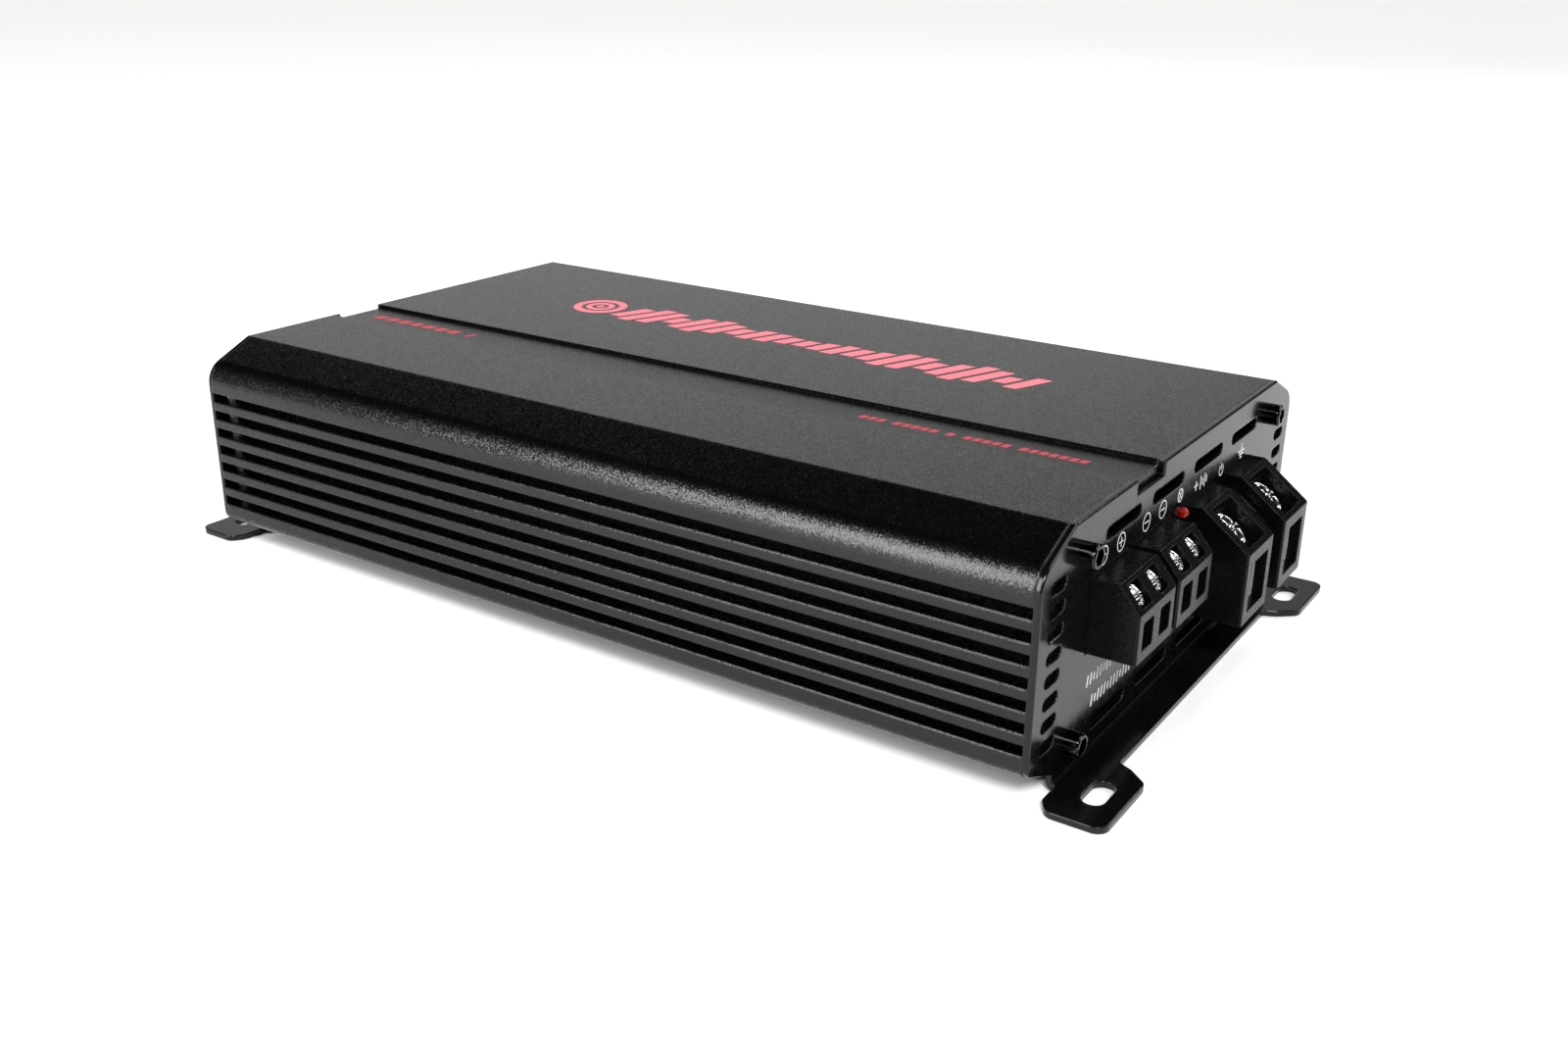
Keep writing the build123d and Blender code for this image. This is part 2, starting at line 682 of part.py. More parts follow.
for name, y in zip(knob_names, knob_y):
    with BuildPart() as knob:
        with BuildSketch(outward(-1, control_board_x + 7.0)):
            with Locations((-y, knob_z)):
                Circle(knob_r)
        extrude(amount=plate_face + 2.5 - control_board_x - 7.0)
        chamfer(knob.edges().filter_by(GeomType.CIRCLE).group_by(Axis.X)[0], 0.4)
        with BuildSketch(outward(-1, control_board_x + 7.0)):
            with Locations((-y, knob_z)):
                Circle(spindle_r)
        extrude(amount=-5.0)
        with BuildSketch(outward(-1, plate_face + 2.5)):
            with Locations((-y, knob_z)):
                Rectangle(1.0, 2 * knob_r + 1)
        extrude(amount=-1.4, mode=Mode.SUBTRACT)
    write(knob, f"{name}_knob")

with BuildPart() as switch_body:
    with BuildSketch(outward(-1, control_board_x)):
        with Locations((-switch_y, switch_z)):
            Rectangle(14.0, 7.0)
    extrude(amount=end_x - control_board_x - 3.0)
    with BuildSketch(outward(-1, end_x - 3.0)):
        with Locations((-switch_y, switch_z)):
            Rectangle(8.6, 3.4)
    extrude(amount=-4.0, mode=Mode.SUBTRACT)
write(switch_body, "switch_body")

switch_travel = 4.0
with BuildPart() as slider:
    with BuildSketch(outward(-1, end_x - 6.6)):
        with Locations((-switch_y + switch_travel / 2, switch_z)):
            Rectangle(3.8, 2.8)
    extrude(amount=plate_face + 2.0 - end_x + 6.6)
    for k in range(3):
        with BuildSketch(outward(-1, plate_face + 2.0)):
            with Locations((-switch_y + switch_travel / 2 - 1.1 + 1.1 * k, switch_z)):
                Rectangle(0.5, 2.8)
        extrude(amount=-0.4, mode=Mode.SUBTRACT)
write(slider, "switch_slider")

with BuildPart() as port:
    with BuildSketch(outward(-1, control_board_x)):
        with Locations((-port_y, port_z)):
            Rectangle(12.2, 11.2)
    extrude(amount=plate_face - control_board_x)
    with BuildSketch(outward(-1, plate_face)):
        with Locations((-port_y, port_z)):
            Rectangle(9.8, 6.6)
        with Locations((-port_y, port_z + 4.0)):
            Rectangle(4.2, 1.8)
    extrude(amount=-12.0, mode=Mode.SUBTRACT)
write(port, "remote_port")
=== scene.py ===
import json
import math
import bpy
import numpy as np
from mathutils import Euler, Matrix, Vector


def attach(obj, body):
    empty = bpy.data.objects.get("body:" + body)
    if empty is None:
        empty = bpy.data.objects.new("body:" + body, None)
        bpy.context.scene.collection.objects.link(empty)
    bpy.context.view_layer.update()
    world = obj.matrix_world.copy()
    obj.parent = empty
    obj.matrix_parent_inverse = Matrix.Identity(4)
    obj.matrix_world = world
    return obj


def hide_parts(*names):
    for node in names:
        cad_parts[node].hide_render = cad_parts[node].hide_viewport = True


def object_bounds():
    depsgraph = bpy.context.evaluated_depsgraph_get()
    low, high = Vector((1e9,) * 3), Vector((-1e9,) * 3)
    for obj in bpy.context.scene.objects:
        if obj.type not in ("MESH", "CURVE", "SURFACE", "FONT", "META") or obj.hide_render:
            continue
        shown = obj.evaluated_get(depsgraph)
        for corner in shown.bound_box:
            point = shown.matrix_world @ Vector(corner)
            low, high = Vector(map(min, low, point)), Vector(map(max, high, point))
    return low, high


# Car amplifier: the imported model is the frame, and this script gives it its finishes, its printed marks
# and its turned clamp screws. Places of lights are in metres, sizes of pieces in millimetres.
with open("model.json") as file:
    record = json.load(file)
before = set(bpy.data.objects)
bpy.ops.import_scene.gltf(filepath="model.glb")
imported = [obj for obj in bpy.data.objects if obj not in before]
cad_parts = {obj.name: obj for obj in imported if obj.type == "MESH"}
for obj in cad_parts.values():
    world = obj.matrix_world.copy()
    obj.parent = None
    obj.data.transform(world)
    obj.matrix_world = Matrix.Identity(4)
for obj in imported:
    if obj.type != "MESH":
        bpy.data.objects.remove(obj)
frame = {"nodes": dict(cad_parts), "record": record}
cadLow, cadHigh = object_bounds()
nodes = frame["nodes"]
mm = 0.001


def linear(hexColour):
    # sRGB hex to linear light
    parts = [int(hexColour[k:k + 2], 16) / 255 for k in (1, 3, 5)]
    return tuple(p / 12.92 if p < 0.04045 else ((p + 0.055) / 1.055) ** 2.4 for p in parts) + (1.0,)


def addNode(tree, kind, values=None, links=None, **settings):
    # one node with its settings, its input values and its incoming links
    node = tree.nodes.new(kind)
    for key, value in settings.items():
        setattr(node, key, value)
    for key, value in (values or {}).items():
        node.inputs[key].default_value = value
    for key, socket in (links or {}).items():
        tree.links.new(socket, node.inputs[key])
    return node


# camera, floor and light
view = {
    "place": (0.23387, -0.32746, 0.16777),
    "turn": (68.742, -0.577, 34.084),
    "lens": 35.26,
    "nearest": 0.01,
}
cameraData = bpy.data.cameras.new("camera")
cameraData.lens = view["lens"]
cameraData.clip_start = view["nearest"]
camera = bpy.data.objects.new("camera", cameraData)
camera.location = view["place"]
camera.rotation_euler = Euler([math.radians(a) for a in view["turn"]])
bpy.context.scene.collection.objects.link(camera)
bpy.context.scene.camera = camera
bpy.context.scene.view_settings.view_transform = "Standard"

studio = {
    "floorSize": 16.0,
    "floorGap": 0.0002,
    "floorColour": "#f6f6f5",
    "floorTone": "#f3f3f2",
    "floorRoughness": 0.8,
    # cloud patches to the metre
    "floorClouds": 3.0,
    # light from round about, by the sine of its height: (height, strength). It is even near the horizon,
    # fades between about 13 and 35 degrees up, and comes back as a soft glow from about 60 degrees up.
    "backdrop": [(0.0, 0.30), (0.22, 0.24), (0.42, 0.08), (0.58, 0.03), (0.80, 0.05), (0.88, 0.26),
                 (1.0, 0.40)],
    # a broad bright panel behind the left end: its direction, the cosines where it starts and is full
    "panelFrom": (-0.607, 0.759, 0.235),
    "panelEdge": (0.775, 0.975),
    "panelLevel": 13.0,
    # what the camera sees of the room: all strengths multiply the world's own dark grey, a twentieth of white
    "roomLevel": 19.0,
}
suns = [
    # name, direction it comes from, strength, angle
    ("sunFront", (0.43, -0.60, 0.67), 3.1, 14.0),
    ("sunRear", (0.62, 0.42, 0.66), 1.5, 40.0),
]
softboxes = [
    # name, place, aims at, size, watts
    ("stripFront", (-0.50, -1.19, 0.60), (0.0, -0.05, 0.03), (0.62, 0.95), 23),
    ("terminalGlint", (0.30, 1.30, 1.05), (0.12, 0.02, 0.04), (0.30, 0.30), 5),
    ("terminalKicker", (1.25, -0.55, 0.85), (0.12, 0.0, 0.03), (0.22, 0.22), 2.0),
]


def makeStage():
    half = studio["floorSize"] / 2
    low = cadLow.z - studio["floorGap"]
    mesh = bpy.data.meshes.new("floor")
    corners = [(-half, -half, low), (half, -half, low), (half, half, low), (-half, half, low)]
    mesh.from_pydata(corners, [], [(0, 1, 2, 3)])
    floor = bpy.data.objects.new("floor", mesh)
    bpy.context.scene.collection.objects.link(floor)
    # painted studio floor: matt, almost white, faintly uneven over tens of centimetres
    material = bpy.data.materials.new("paintedFloor")
    material.use_nodes = True
    tree = material.node_tree
    shader = tree.nodes["Principled BSDF"]
    shader.inputs["Roughness"].default_value = studio["floorRoughness"]
    place = addNode(tree, "ShaderNodeTexCoord")
    cloud = addNode(tree, "ShaderNodeTexNoise", {"Scale": studio["floorClouds"], "Detail": 2.0},
                    {"Vector": place.outputs["Object"]})
    tone = addNode(tree, "ShaderNodeMix",
                   {"A": linear(studio["floorColour"]), "B": linear(studio["floorTone"])},
                   {"Factor": cloud.outputs["Fac"]}, data_type="RGBA")
    tree.links.new(tone.outputs["Result"], shader.inputs["Base Color"])
    mesh.materials.append(material)

    world = bpy.data.worlds.new("studio")
    bpy.context.scene.world = world
    world.use_nodes = True
    tree = world.node_tree
    direction = addNode(tree, "ShaderNodeTexCoord")
    split = addNode(tree, "ShaderNodeSeparateXYZ", links={"Vector": direction.outputs["Generated"]})
    ramp = addNode(tree, "ShaderNodeValToRGB", links={"Fac": split.outputs["Z"]})
    points = ramp.color_ramp.elements
    while len(points) < len(studio["backdrop"]):
        points.new(0.5)
    for point, (height, level) in zip(points, studio["backdrop"]):
        point.position = height
        point.color = (level, level, level, 1.0)
    towards = addNode(tree, "ShaderNodeVectorMath", {1: studio["panelFrom"]},
                      {0: direction.outputs["Generated"]}, operation="DOT_PRODUCT")
    panel = addNode(tree, "ShaderNodeMapRange",
                    {"From Min": studio["panelEdge"][0], "From Max": studio["panelEdge"][1],
                     "To Min": 0.0, "To Max": studio["panelLevel"]},
                    {"Value": towards.outputs["Value"]}, interpolation_type="SMOOTHSTEP")
    level = addNode(tree, "ShaderNodeMath", links={0: ramp.outputs["Color"], 1: panel.outputs["Result"]},
                    operation="ADD")
    # the room behind the object is plain and pale; only the light that falls on it is shaped
    rays = addNode(tree, "ShaderNodeLightPath")
    seen = addNode(tree, "ShaderNodeMix", {"B": studio["roomLevel"]},
                   {"Factor": rays.outputs["Is Camera Ray"], "A": level.outputs["Value"]}, data_type="FLOAT")
    tree.links.new(seen.outputs["Result"], tree.nodes["Background"].inputs["Strength"])

    for name, source, strength, angle in suns:
        data = bpy.data.lights.new(name, "SUN")
        data.energy = strength
        data.angle = math.radians(angle)
        sun = bpy.data.objects.new(name, data)
        sun.rotation_euler = Vector(source).to_track_quat("Z", "Y").to_euler()
        bpy.context.scene.collection.objects.link(sun)
    for name, place, aim, size, watts in softboxes:
        data = bpy.data.lights.new(name, "AREA")
        data.shape = "RECTANGLE"
        data.size, data.size_y = size
        data.energy = watts
        light = bpy.data.objects.new(name, data)
        light.location = place
        light.rotation_euler = (Vector(place) - Vector(aim)).to_track_quat("Z", "Y").to_euler()
        light.visible_camera = False
        bpy.context.scene.collection.objects.link(light)


makeStage()
print("stage: camera, floor,", len(suns), "suns and", len(softboxes), "softboxes")

# Finishes. Sizes of patterns are in millimetres: grainMm is the width of one grain, blotchMm of one soft
# patch, edgeMm the radius that handling and deburring have left on sharp edges. Roughness varies by spread
# either way, sparkle is how far a grain leans, and edgeShare how much of the edge colour shows at an edge.
# The edge colour is partly the finish rubbed through and partly a painted highlight along the edges.
plain = {"metallic": 0.0, "roughness": 0.5, "spread": 0.05, "grainMm": 0.5, "grainDepthMm": 0.01,
         "sparkle": 0.0, "blotchMm": 12.0, "edgeMm": 0.2, "edgeShare": 0.0, "edge": "#808080", "coat": 0.0,
         "specular": 0.5, "stretch": (1.0, 1.0, 1.0)}
finishes = {
    # bead-blasted, black anodised aluminium: a dark metal sheen with fine glints.
    # The real blasting grain is about 0.1 mm, and is drawn a few times as coarse so that it shows.
    "blackAnodised": dict(base="#343435", tone="#39393a", metallic=1.0, roughness=0.27, spread=0.05,
                          grainMm=0.26, grainDepthMm=0.006, sparkle=0.22, blotchMm=30.0, edgeMm=0.9,
                          edgeShare=0.25, edge="#6d6d6e"),
    # gloss black paint baked on smooth sheet steel: sharp reflections, faint orange peel
    "glossBlackPaint": dict(base="#050506", tone="#070708", roughness=0.15, spread=0.03, specular=0.34,
                            grainMm=2.2, grainDepthMm=0.002, blotchMm=40.0, edgeMm=0.6, edgeShare=0.25,
                            edge="#2c2d2f"),
    # black oxide on steel socket screws: dark, slightly oily shine, with rub marks and a painted highlight on
    # its edges
    "blackOxide": dict(base="#2a2a2c", tone="#343436", metallic=1.0, roughness=0.14, spread=0.04,
                       grainMm=0.5, grainDepthMm=0.003, blotchMm=3.0, edgeMm=0.2, edgeShare=0.8,
                       edge="#b4b4b6"),
    # bright nickel plate over pressed or turned brass: mirror-like, a little wavy from tumbling
    "brightNickel": dict(base="#c9c8c5", tone="#8f8e8b", metallic=1.0, roughness=0.13, spread=0.07,
                         grainMm=0.9, grainDepthMm=0.02, blotchMm=2.0, edgeMm=0.12, edgeShare=0.3,
                         edge="#efece4"),
    # satin nickel on pressed steel, inside the clamp cages
    "satinNickel": dict(base="#dedcd8", tone="#c4c2be", metallic=1.0, roughness=0.48, spread=0.08,
                        grainMm=0.4, grainDepthMm=0.01, blotchMm=2.0, edgeMm=0.2, edgeShare=0.3,
                        edge="#efece4"),
    # glass-filled nylon moulded with a fine spark-eroded texture: matt black, with a painted highlight on its
    # edges
    "mouldedNylon": dict(base="#040405", tone="#070708", roughness=0.27, spread=0.05, grainMm=0.35,
                         grainDepthMm=0.008, sparkle=0.10, specular=0.15, blotchMm=6.0, edgeMm=0.3,
                         edgeShare=0.4, edge="#2c2c2e"),
    # ABS knob plastic, satin
    "satinAbs": dict(base="#111112", tone="#161617", roughness=0.36, spread=0.05, grainMm=0.4,
                     grainDepthMm=0.008, blotchMm=4.0, edgeMm=0.2, edgeShare=0.3, edge="#3a3a3b"),
    # glossy red and white plastic centres of the jacks
    "redAbs": dict(base="#a5171b", tone="#8f1316", roughness=0.3, grainMm=0.4, grainDepthMm=0.006,
                   blotchMm=3.0, edgeShare=0.2, edge="#c4474a"),
    "whiteAbs": dict(base="#e4e2db", tone="#d8d5cc", roughness=0.3, grainMm=0.4, grainDepthMm=0.006,
                     blotchMm=3.0, edgeShare=0.2, edge="#f2f1ec"),
    # zinc plate on pressed steel: cool, finely drawn along its length
    "zincPlate": dict(base="#b4b5b3", tone="#9c9e9d", metallic=1.0, roughness=0.34, spread=0.08, grainMm=0.3,
                      grainDepthMm=0.006, blotchMm=4.0, edgeShare=0.3,
                      edge="#d8d8d6", stretch=(0.08, 1.0, 1.0)),
    # turned brass, lightly tarnished
    "turnedBrass": dict(base="#b8914d", tone="#9a7437", metallic=1.0, roughness=0.3, grainMm=0.2,
                        grainDepthMm=0.005, blotchMm=3.0, edgeShare=0.3,
                        edge="#dcbf86", stretch=(1.0, 1.0, 3.0)),
    # epoxy-coated ferrite ring: green powder coat with a pebbled skin
    "coatedFerrite": dict(base="#1d4a37", tone="#173e2e", roughness=0.45, grainMm=0.9, grainDepthMm=0.05,
                          blotchMm=6.0),
    # enamelled copper wire: warm metal under clear lacquer
    "enamelledCopper": dict(base="#b0602f", tone="#8e4a22", metallic=1.0, roughness=0.26, grainMm=0.8,
                            grainDepthMm=0.02, blotchMm=5.0, edgeShare=0.4, edge="#d78e5c", coat=0.5),
    # shrink sleeve of a capacitor: smooth dark plastic film
    "shrinkSleeve": dict(base="#11131f", tone="#161928", roughness=0.22, grainMm=3.0, grainDepthMm=0.03,
                         blotchMm=10.0),
    # moulded resin box of a film capacitor
    "mouldedResin": dict(base="#7c2413", tone="#6b1d0f", roughness=0.35, grainMm=0.6, grainDepthMm=0.01,
                         blotchMm=5.0, edgeShare=0.3, edge="#a04a36"),
    # thermal pad: soft grey silicone with a woven glass core, threads about 0.6 mm apart
    "siliconePad": dict(base="#8d9093", tone="#7d8083", roughness=0.7, grainMm=0.6, grainDepthMm=0.03,
                        blotchMm=8.0),
    # transistor epoxy, moulded and matt
    "mouldedEpoxy": dict(base="#151516", tone="#1c1c1d", roughness=0.55, grainMm=0.3, grainDepthMm=0.01,
                         blotchMm=3.0, edgeShare=0.2, edge="#2f2f30"),
    # potentiometer case: moulded polyester
    "bluePolyester": dict(base="#1c3566", tone="#172c57", roughness=0.45, grainMm=0.4, grainDepthMm=0.01,
                          blotchMm=4.0, edgeShare=0.2, edge="#3d5a94"),
}
# noise values between which roughness runs, and cosines between rounded and true normal where the edge colour
# starts and is full; that colour is partly the finish rubbed through, partly a painted highlight
grainWearAndSheen = {"grainLow": 0.3, "grainHigh": 0.7, "start": 0.985, "full": 0.85}


def makeFinish(name):
    # base and tone mix by soft patches; grain raises the surface and varies its roughness; the rounded
    # normal of the bevel turns away from the true one only at edges, which is where the edge colour shows:
    # partly the finish rubbed through, partly a painted highlight
    r = dict(plain, **finishes[name])
    material = bpy.data.materials.new(name)
    material.use_nodes = True
    tree = material.node_tree
    shader = tree.nodes["Principled BSDF"]
    shader.inputs["Metallic"].default_value = r["metallic"]
    shader.inputs["Coat Weight"].default_value = r["coat"]
    if r["metallic"] < 0.5:
        shader.inputs["Specular IOR Level"].default_value = r["specular"]
    place = addNode(tree, "ShaderNodeTexCoord")
    vector = place.outputs["Object"]
    if r["stretch"] != (1.0, 1.0, 1.0):
        mapping = addNode(tree, "ShaderNodeMapping", {"Scale": r["stretch"]}, {"Vector": vector})
        vector = mapping.outputs["Vector"]
    blotch = addNode(tree, "ShaderNodeTexNoise", {"Scale": 1 / (r["blotchMm"] * mm), "Detail": 3.0},
                     {"Vector": vector})
    grain = addNode(tree, "ShaderNodeTexNoise", {"Scale": 1 / (r["grainMm"] * mm), "Detail": 1.0},
                    {"Vector": vector})
    colour = addNode(tree, "ShaderNodeMix", {"A": linear(r["base"]), "B": linear(r["tone"])},
                     {"Factor": blotch.outputs["Fac"]}, data_type="RGBA")
    rough = addNode(tree, "ShaderNodeMapRange",
                    {"From Min": grainWearAndSheen["grainLow"], "From Max": grainWearAndSheen["grainHigh"],
                     "To Min": r["roughness"] - r["spread"], "To Max": r["roughness"] + r["spread"]},
                    {"Value": grain.outputs["Fac"]})
    bevel = addNode(tree, "ShaderNodeBevel", {"Radius": r["edgeMm"] * mm}, samples=6)
    normal = bevel.outputs["Normal"]
    if r["sparkle"]:
        # every grain leans its own way, so some flash and some stay dark
        cells = addNode(tree, "ShaderNodeTexVoronoi", {"Scale": 1 / (r["grainMm"] * mm)},
                        {"Vector": vector})
        tilt = addNode(tree, "ShaderNodeVectorMath", {1: (0.5, 0.5, 0.5)}, {0: cells.outputs["Color"]},
                       operation="SUBTRACT")
        scaled = addNode(tree, "ShaderNodeVectorMath", {"Scale": r["sparkle"]}, {0: tilt.outputs["Vector"]},
                         operation="SCALE")
        leaning = addNode(tree, "ShaderNodeVectorMath", links={0: normal, 1: scaled.outputs["Vector"]},
                          operation="ADD")
        normal = addNode(tree, "ShaderNodeVectorMath", links={0: leaning.outputs["Vector"]},
                         operation="NORMALIZE").outputs["Vector"]
    bump = addNode(tree, "ShaderNodeBump", {"Strength": 1.0, "Distance": r["grainDepthMm"] * mm},
                   {"Height": grain.outputs["Fac"], "Normal": normal})
    tree.links.new(bump.outputs["Normal"], shader.inputs["Normal"])
    tree.links.new(rough.outputs["Result"], shader.inputs["Roughness"])
    result = colour.outputs["Result"]
    # edge colour: partly the finish rubbed through, partly a painted highlight where edges would catch the
    # light
    if r["edgeShare"]:
        surface = addNode(tree, "ShaderNodeNewGeometry")
        agree = addNode(tree, "ShaderNodeVectorMath",
                        links={0: bevel.outputs["Normal"], 1: surface.outputs["Normal"]},
                        operation="DOT_PRODUCT")
        atEdge = addNode(tree, "ShaderNodeMapRange",
                         {"From Min": grainWearAndSheen["start"], "From Max": grainWearAndSheen["full"], "To Min": 0.0,
                          "To Max": r["edgeShare"]}, {"Value": agree.outputs["Value"]})
        wearAndSheen = addNode(tree, "ShaderNodeMath", links={0: atEdge.outputs["Result"], 1: blotch.outputs["Fac"]},
                       operation="MULTIPLY")
        result = addNode(tree, "ShaderNodeMix", {"B": linear(r["edge"])},
                         {"Factor": wearAndSheen.outputs["Value"], "A": result}, data_type="RGBA").outputs["Result"]
    tree.links.new(result, shader.inputs["Base Color"])
    return material


made = {name: makeFinish(name) for name in finishes}


lens = {"base": "#7c070b", "tone": "#950d11", "roughness": 0.06, "ior": 1.49, "clear": 0.35,
        "glow": "#ff1a12", "glowStrength": 0.05, "cloudMm": 1.5}


def makeLens():
    # red acrylic of the lamp: partly clear, with the faintest glow of its own
    material = bpy.data.materials.new("redAcrylic")
    material.use_nodes = True
    tree = material.node_tree
    shader = tree.nodes["Principled BSDF"]
    shader.inputs["Roughness"].default_value = lens["roughness"]
    shader.inputs["IOR"].default_value = lens["ior"]
    shader.inputs["Transmission Weight"].default_value = lens["clear"]
    shader.inputs["Emission Color"].default_value = linear(lens["glow"])
    shader.inputs["Emission Strength"].default_value = lens["glowStrength"]
    place = addNode(tree, "ShaderNodeTexCoord")
    depth = addNode(tree, "ShaderNodeTexNoise", {"Scale": 1 / (lens["cloudMm"] * mm)},
                    {"Vector": place.outputs["Object"]})
    tone = addNode(tree, "ShaderNodeMix", {"A": linear(lens["base"]), "B": linear(lens["tone"])},
                   {"Factor": depth.outputs["Fac"]}, data_type="RGBA")
    tree.links.new(tone.outputs["Result"], shader.inputs["Base Color"])
    return material


# metres: a track is as wide as a row is high, and the gaps between tracks are narrow
board = {"track": "#0f4a2a", "otherTrack": "#13552f", "gap": "#0a331d", "roughness": 0.3, "gapWide": 0.0006,
         "trackLong": 0.017, "trackWide": 0.006, "step": 0.00004}


def makeBoard():
    # solder mask on glass epoxy: green varnish over copper areas, lower in the gaps between them
    material = bpy.data.materials.new("solderMask")
    material.use_nodes = True
    tree = material.node_tree
    shader = tree.nodes["Principled BSDF"]
    shader.inputs["Roughness"].default_value = board["roughness"]
    place = addNode(tree, "ShaderNodeTexCoord")
    tracks = addNode(tree, "ShaderNodeTexBrick",
                     {"Scale": 1.0, "Mortar Size": board["gapWide"], "Brick Width": board["trackLong"],
                      "Row Height": board["trackWide"], "Color1": linear(board["track"]),
                      "Color2": linear(board["otherTrack"]), "Mortar": linear(board["gap"])},
                     {"Vector": place.outputs["Object"]})
    tree.links.new(tracks.outputs["Color"], shader.inputs["Base Color"])
    step = addNode(tree, "ShaderNodeBump", {"Distance": board["step"]}, {"Height": tracks.outputs["Fac"]})
    tree.links.new(step.outputs["Normal"], shader.inputs["Normal"])
    return material


inks = {"whiteInk": ("#f2f2f0", "#c9c9c7"), "redInk": ("#ec7c88", "#dd6e7a"),
        "deepRedInk": ("#b53c49", "#a03440")}
inkFinish = {"roughness": 0.5, "meshMm": 0.5}


def makeInk(name):
    # screen-printed ink: flat and matt, slightly darker where the mesh left less of it
    full, thin = inks[name]
    material = bpy.data.materials.new(name)
    material.use_nodes = True
    tree = material.node_tree
    shader = tree.nodes["Principled BSDF"]
    shader.inputs["Roughness"].default_value = inkFinish["roughness"]
    place = addNode(tree, "ShaderNodeTexCoord")
    patch = addNode(tree, "ShaderNodeTexNoise", {"Scale": 1 / (inkFinish["meshMm"] * mm), "Detail": 2.0},
                    {"Vector": place.outputs["Object"]})
    tone = addNode(tree, "ShaderNodeMix", {"A": linear(full), "B": linear(thin)},
                   {"Factor": patch.outputs["Fac"]}, data_type="RGBA")
    tree.links.new(tone.outputs["Result"], shader.inputs["Base Color"])
    return material


made["redAcrylic"] = makeLens()
made["solderMask"] = makeBoard()
made.update({name: makeInk(name) for name in inks})
print("finishes:", len(made))

finishOf = {
    "heatsink": "blackAnodised", "bottom_cover": "glossBlackPaint", "terminal_end_plate": "glossBlackPaint",
    "control_end_plate": "glossBlackPaint", "bottom_cover_screws": "blackOxide",
    "terminal_end_screws": "blackOxide", "control_end_screws": "blackOxide", "status_lamp": "redAcrylic",
    "circuit_board": "solderMask", "control_board": "solderMask", "board_standoffs": "turnedBrass",
    "board_screws": "zincPlate", "transformer_core": "coatedFerrite", "output_choke_core": "coatedFerrite",
    "transformer_winding": "enamelledCopper", "output_choke_winding": "enamelledCopper",
    "supply_capacitors": "shrinkSleeve", "film_capacitors": "mouldedResin",
    "signal_jack_housing": "mouldedNylon", "signal_jack_shells": "brightNickel",
    "red_jack_centres": "redAbs", "white_jack_centres": "whiteAbs", "control_pots": "bluePolyester",
    "switch_body": "zincPlate", "switch_slider": "satinAbs", "remote_port": "mouldedNylon",
}
endings = [("_housing", "mouldedNylon"), ("_cages", "satinNickel"), ("_cage", "satinNickel"),
           ("_insulating_pad", "siliconePad"), ("_transistors", "mouldedEpoxy"), ("_clamp_bar", "zincPlate"),
           ("_clamp_screws", "zincPlate"), ("_knob", "satinAbs")]
for name, part in nodes.items():
    byEnding = next((finish for ending, finish in endings if name.endswith(ending)), "brightNickel")
    chosen = finishOf.get(name, byEnding)
    part.data.materials.clear()
    part.data.materials.append(made[chosen])
print("finishes given to", len(nodes), "parts")


def putMesh(name, points, faces, material, body, smooth=False):
    # points in millimetres, as one array; faces as lists of point numbers
    mesh = bpy.data.meshes.new(name)
    mesh.from_pydata((np.asarray(points) * mm).tolist(), [], faces)
    mesh.polygons.foreach_set("use_smooth", np.full(len(mesh.polygons), smooth))
    mesh.materials.append(made[material])
    mesh.update()
    piece = bpy.data.objects.new(name, mesh)
    bpy.context.scene.collection.objects.link(piece)
    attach(piece, body)
    return piece


# printed marks: thin films of ink, half sunk into the surface below
inkHeight = 0.03
turnAll = 2 * math.pi
printPlanes = {
    # where the middle of the print lies, its direction to the right and its direction upwards
    "top": ((0.0, 0.0, 59.0), (1, 0, 0), (0, 1, 0)),
    "channel": ((0.0, 0.0, 58.0), (1, 0, 0), (0, 1, 0)),
    "terminalEnd": ((125.5, 0.0, 0.0), (0, 1, 0), (0, 0, 1)),
    "controlEnd": ((-125.5, 0.0, 0.0), (0, -1, 0), (0, 0, 1)),
}


def barCorners(bars):
    # each bar is (right, up, width, height, lean, turn): a rectangle sheared by its lean, then turned
    right, up, width, height, lean, turn = np.array(bars, float).T[:, :, None]
    y = np.array([-0.5, -0.5, 0.5, 0.5]) * height
    x = np.array([-0.5, 0.5, 0.5, -0.5]) * width + lean * y
    return np.stack([right + x * np.cos(turn) - y * np.sin(turn),
                     up + x * np.sin(turn) + y * np.cos(turn)], axis=2)


def arcCorners(arcs, steps=40):
    # each arc is (right, up, radius, line, start, end): two circles half a line inside and outside the
    # radius, cut into short four-cornered pieces that meet edge to edge
    right, up, radius, line, start, end = np.array(arcs, float).T[:, :, None]
    angle = start + (end - start) * np.linspace(0, 1, steps + 1)
    along, over = np.cos(angle), np.sin(angle)
    low, high = radius - line / 2, radius + line / 2
    inner = np.stack([right + low * along, up + low * over], axis=2)
    outer = np.stack([right + high * along, up + high * over], axis=2)
    corners = np.stack([inner[:, :-1], outer[:, :-1], outer[:, 1:], inner[:, 1:]], axis=2)
    return corners.reshape(-1, 4, 2)


def printMarks(name, plane, material, bars, arcs=()):
    # every four-cornered outline becomes a closed slab, from just under the surface to just over it
    origin, right, up = [np.array(v, float) for v in printPlanes[plane]]
    out = np.cross(right, up)
    corners = np.concatenate([barCorners(bars)] + ([arcCorners(arcs)] if len(arcs) else []))
    flat = origin + corners[..., :1] * right + corners[..., 1:] * up
    points = np.concatenate([flat - out * inkHeight, flat + out * inkHeight], axis=1).reshape(-1, 3)
    slab = np.array([(3, 2, 1, 0), (4, 5, 6, 7), (0, 1, 5, 4), (1, 2, 6, 5), (2, 3, 7, 6), (3, 0, 4, 7)])
    faces = (slab[None] + 8 * np.arange(len(corners))[:, None, None]).reshape(-1, 4)
    return putMesh(name, points, faces.tolist(), material, "case")


